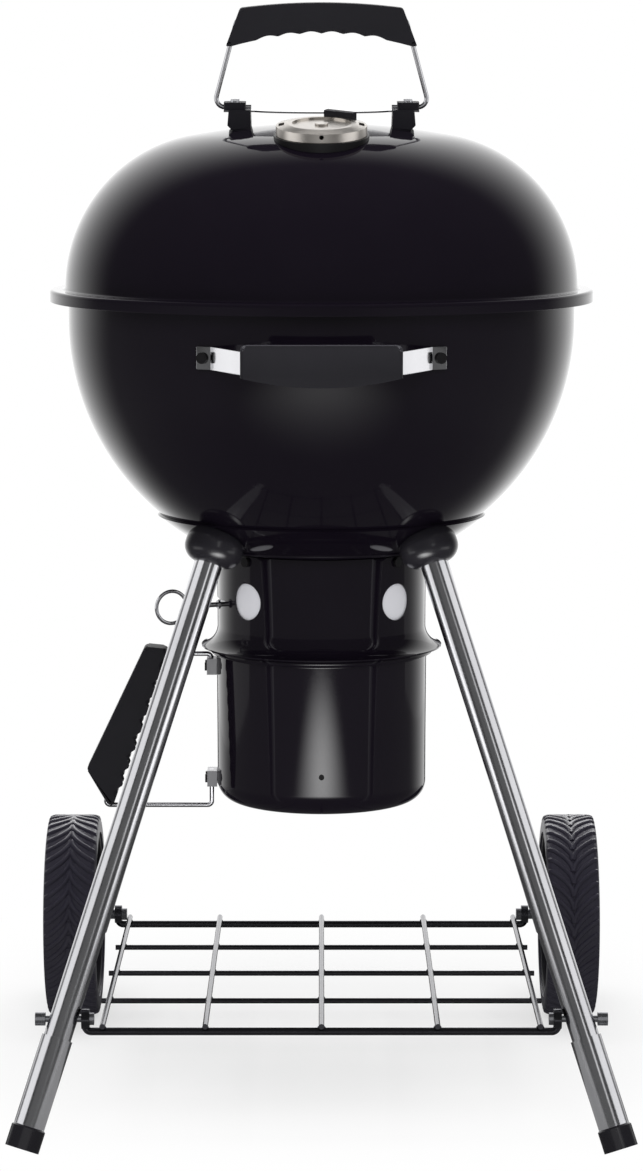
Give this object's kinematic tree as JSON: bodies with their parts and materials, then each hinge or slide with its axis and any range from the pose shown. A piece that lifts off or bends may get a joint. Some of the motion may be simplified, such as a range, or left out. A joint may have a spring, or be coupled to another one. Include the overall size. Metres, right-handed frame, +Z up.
{
  "type": "kettle charcoal grill",
  "caption": "Kettle charcoal grill: round enamelled bowl and domed lid with vent, air tower and ash pot, splayed tube legs, wire shelf and wheels.",
  "frame": {"origin": "on the floor, below the middle of the whole grill's bounding box", "axes": "+Z up, -Y towards the front handle, +X to the right as seen from the front"},
  "size_m": [0.5636, 0.6618, 1.019],
  "materials": {
    "black_enamel": "gloss porcelain enamel on steel",
    "black_painted_steel": "satin black paint on steel",
    "black_moulding": "glass-filled moulding, matt",
    "bright_steel": "drawn and polished steel",
    "plated_wire": "bright plating on steel wire",
    "plated_hardware": "zinc plating",
    "black_tyre": "matt black, moulded tread"
  },
  "bodies": {
    "stand": {"bowl_shell": "black_enamel", "support_ring": "black_enamel", "front_strap": "bright_steel", "front_grip": "black_moulding", "front_screws": "plated_hardware", "front_rivets": "black_painted_steel", "cooking_grate_tabs": "bright_steel", "charcoal_grate_tabs": "bright_steel", "tower_shell": "black_enamel", "tower_screws": "plated_hardware", "sleeve_ledge": "bright_steel", "pot_clips": "bright_steel", "socket_bolts": "plated_hardware", "leg_plugs": "black_moulding", "shelf_front_rail": "plated_wire", "shelf_rear_rail": "plated_wire", "shelf_long_wires": "plated_wire", "shelf_cross_wires": "plated_wire", "shelf_bolts": "plated_hardware", "leg_socket_front_left": "black_moulding", "leg_socket_front_right": "black_moulding", "leg_socket_rear_left": "black_moulding", "leg_socket_rear_right": "black_moulding", "leg_tube_front_left": "bright_steel", "leg_tube_front_right": "bright_steel", "leg_tube_rear_left": "bright_steel", "leg_tube_rear_right": "bright_steel", "leg_sleeve_left": "bright_steel", "leg_sleeve_right": "bright_steel", "foot_cap_left": "black_moulding", "foot_cap_right": "black_moulding", "stub_axle_left": "plated_hardware", "stub_axle_right": "plated_hardware"},
    "lid": {"lid_shell": "black_enamel", "heat_shield": "bright_steel", "handle_clamps": "black_moulding", "clamp_screws": "plated_hardware", "block_screws": "plated_hardware", "lid_handle_wire": "plated_wire", "lid_handle_grip": "black_moulding", "handle_block_left": "black_moulding", "handle_block_right": "black_moulding", "vent_base": "black_painted_steel", "vent_rivet": "bright_steel"},
    "vent": {"vent_cap": "bright_steel", "vent_tab": "black_moulding"},
    "damper": {"air_sleeve": "bright_steel", "air_lever": "black_painted_steel", "lever_ring": "plated_wire"},
    "pot": {"ash_pot": "black_enamel", "pot_handle_wire": "plated_wire", "pot_handle_grip": "black_moulding", "pot_brackets": "black_painted_steel", "pot_rivets": "plated_hardware"},
    "roller_left": {"wheel_left": "black_moulding", "tyre_left": "black_tyre"},
    "roller_right": {"wheel_right": "black_moulding", "tyre_right": "black_tyre"},
    "grate_for_food": {"cooking_grate": "plated_wire"},
    "grate_for_coal": {"charcoal_grate": "bright_steel"}
  },
  "joints": [
    {"name": "lid_lift", "type": "slide", "parent": "stand", "child": "lid", "axis": [0, 0, 1], "range_m": [0, 0.4]},
    {"name": "vent_turn", "type": "hinge", "parent": "lid", "child": "vent", "pos_m": [0, -0.15415, 0.8984], "axis": [0, -0.182, 0.9833], "range_deg": [0, 30]},
    {"name": "damper_turn", "type": "hinge", "parent": "stand", "child": "damper", "pos_m": [0, -0.03415, 0.4637], "axis": [0, 0, -1], "range_deg": [0, 45]},
    {"name": "pot_release", "type": "slide", "parent": "stand", "child": "pot", "axis": [0, 0, -1], "range_m": [0, 0.14]},
    {"name": "left_wheel_spin", "type": "hinge", "parent": "stand", "child": "roller_left", "pos_m": [-0.252, 0.22885, 0.102], "axis": [1, 0, 0], "continuous": true},
    {"name": "right_wheel_spin", "type": "hinge", "parent": "stand", "child": "roller_right", "pos_m": [0.252, 0.22885, 0.102], "axis": [1, 0, 0], "continuous": true},
    {"name": "cooking_grate_lift", "type": "slide", "parent": "stand", "child": "grate_for_food", "axis": [0, 0, 1], "range_m": [0, 0.01]},
    {"name": "charcoal_grate_lift", "type": "slide", "parent": "stand", "child": "grate_for_coal", "axis": [0, 0, 1], "range_m": [0, 0.13]}
  ]
}
